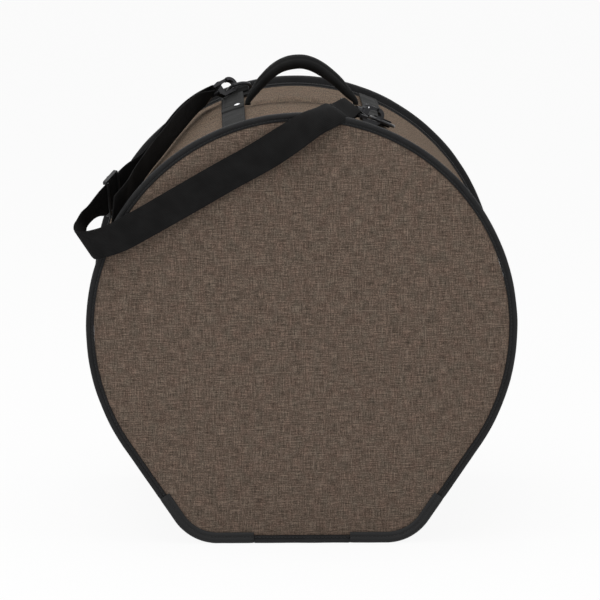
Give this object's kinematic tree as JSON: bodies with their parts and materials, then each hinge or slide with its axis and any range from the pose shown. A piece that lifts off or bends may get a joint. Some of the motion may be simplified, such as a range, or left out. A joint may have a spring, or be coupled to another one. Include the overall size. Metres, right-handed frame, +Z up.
{
  "type": "floor tom bag",
  "caption": "Round padded floor tom bag with a flat base, zipped rear lid, padded top handle, side grab handle and a shoulder strap on snap hooks and D-rings.",
  "frame": {"origin": "centre of the flat base on the floor", "axes": "+Z up, -Y towards the front face, +X to the right of the front face"},
  "size_m": [0.5132, 0.4805, 0.5505],
  "materials": {
    "face_cloth": "heather taupe woven cloth, matt",
    "wall_cloth": "heather light brown woven cloth, matt",
    "binding_cloth": "black woven tape, matt",
    "webbing": "black woven webbing with ribbed edges, matt",
    "handle_cover": "black woven wrap over padding, matt",
    "black_vinyl": "black grained vinyl, satin",
    "grey_vinyl": "dark grey grained vinyl, satin",
    "lining_cloth": "dark grey nylon lining",
    "foam": "pale padding foam, hidden",
    "fibre_board": "stiff fibre base board, hidden",
    "zip_plastic": "black coil zip teeth",
    "dark_metal": "black nickel finish, satin",
    "bright_metal": "bright nickel",
    "black_plastic": "moulded black nylon"
  },
  "bodies": {
    "bag": {"front_panel": "face_cloth", "front_foam": "foam", "front_lining": "lining_cloth", "front_binding": "binding_cloth", "front_cap_left": "black_vinyl", "front_cap_right": "black_vinyl", "gusset_shell": "wall_cloth", "gusset_foam": "foam", "gusset_lining": "lining_cloth", "base_boot": "black_vinyl", "base_board": "fibre_board", "base_foam": "foam", "lid_hinge_strip": "binding_cloth", "zip_tape_body": "binding_cloth", "zip_chain_body": "zip_plastic", "zip_stop_left": "dark_metal", "zip_stop_right": "dark_metal", "handle_patch_left": "grey_vinyl", "handle_patch_right": "grey_vinyl", "handle_foot_left": "webbing", "handle_foot_right": "webbing", "handle_rivet_left": "bright_metal", "handle_rivet_right": "bright_metal", "side_handle": "webbing", "side_patch_upper": "black_vinyl", "side_patch_lower": "black_vinyl", "dring_tab_left": "webbing", "dring_tab_right": "webbing", "hook_eye_left": "dark_metal", "hook_eye_right": "dark_metal", "shoulder_strap": "webbing"},
    "lid": {"back_panel": "face_cloth", "back_foam": "foam", "back_lining": "lining_cloth", "back_binding": "binding_cloth", "back_cap_left": "black_vinyl", "back_cap_right": "black_vinyl", "zip_tape_lid": "binding_cloth", "zip_chain_lid": "zip_plastic"},
    "zip_slider_right": {"zip_slider_a": "dark_metal"},
    "zip_pull_right": {"zip_pull_a": "dark_metal"},
    "zip_slider_end": {"zip_slider_b": "dark_metal"},
    "zip_pull_end": {"zip_pull_b": "dark_metal"},
    "handle": {"top_handle": "handle_cover"},
    "ring_left": {"dring_left": "dark_metal"},
    "ring_right": {"dring_right": "dark_metal"},
    "snap_left": {"hook_left": "dark_metal", "hook_pin_left": "bright_metal"},
    "gate_left": {"hook_gate_left": "dark_metal"},
    "snap_right": {"hook_right": "dark_metal", "hook_pin_right": "bright_metal"},
    "gate_right": {"hook_gate_right": "dark_metal"},
    "adjuster": {"strap_slider": "black_plastic"}
  },
  "joints": [
    {"name": "lid_hinge", "type": "hinge", "parent": "bag", "child": "lid", "pos_m": [0, 0.225, 0], "axis": [-1, 0, 0], "range_deg": [0, 88]},
    {"name": "zip_slider_right_travel", "type": "hinge", "parent": "bag", "child": "zip_slider_right", "pos_m": [0, 0.1994, 0.254], "axis": [0, 1, 0], "range_deg": [-220, 0]},
    {"name": "zip_pull_right_swing", "type": "hinge", "parent": "zip_slider_right", "child": "zip_pull_right", "pos_m": [0.24344, 0.1994, 0.21107], "axis": [0, 1, 0], "range_deg": [-150, 0]},
    {"name": "zip_slider_end_travel", "type": "hinge", "parent": "bag", "child": "zip_slider_end", "pos_m": [0, 0.1994, 0.254], "axis": [0, 1, 0], "range_deg": [0, 6]},
    {"name": "zip_pull_end_swing", "type": "hinge", "parent": "zip_slider_end", "child": "zip_pull_end", "pos_m": [0.22026, 0.1994, 0.14177], "axis": [0, 1, 0], "range_deg": [-140, 18]},
    {"name": "handle_flop", "type": "hinge", "parent": "bag", "child": "handle", "pos_m": [0, 0, 0.4932], "axis": [1, 0, 0], "range_deg": [-60, 60]},
    {"name": "ring_left_swing", "type": "hinge", "parent": "bag", "child": "ring_left", "pos_m": [-0.06858, 0.174, 0.49004], "axis": [0.9603, 0, 0.279], "range_deg": [-8, 0]},
    {"name": "ring_right_swing", "type": "hinge", "parent": "bag", "child": "ring_right", "pos_m": [0.095, -0.138, 0.48449], "axis": [0.9245, 0, -0.3811], "range_deg": [-8, 0]},
    {"name": "snap_left_swivel", "type": "hinge", "parent": "bag", "child": "snap_left", "pos_m": [-0.09831, 0.14379, 0.49108], "axis": [0.6827, 0.6744, 0.2811], "range_deg": [-4, 4]},
    {"name": "gate_left_spring", "type": "hinge", "parent": "snap_left", "child": "gate_left", "pos_m": [-0.09726, 0.15032, 0.49882], "axis": [-0.4768, 0.7028, -0.528], "range_deg": [0, 30], "stiffness_Nm_per_rad": 0.02, "springref_deg": -20.05},
    {"name": "snap_right_swivel", "type": "hinge", "parent": "bag", "child": "snap_right", "pos_m": [0.06884, -0.16796, 0.50039], "axis": [0.7524, 0.5779, -0.3162], "range_deg": [-4, 4]},
    {"name": "gate_right_spring", "type": "hinge", "parent": "snap_right", "child": "gate_right", "pos_m": [0.0768, -0.16333, 0.50473], "axis": [-0.5588, 0.8141, 0.158], "range_deg": [0, 30], "stiffness_Nm_per_rad": 0.02, "springref_deg": -20.05},
    {"name": "adjuster_slide", "type": "slide", "parent": "bag", "child": "adjuster", "axis": [0.4231, 0.822, 0.3812], "range_m": [0, 0.02]}
  ]
}
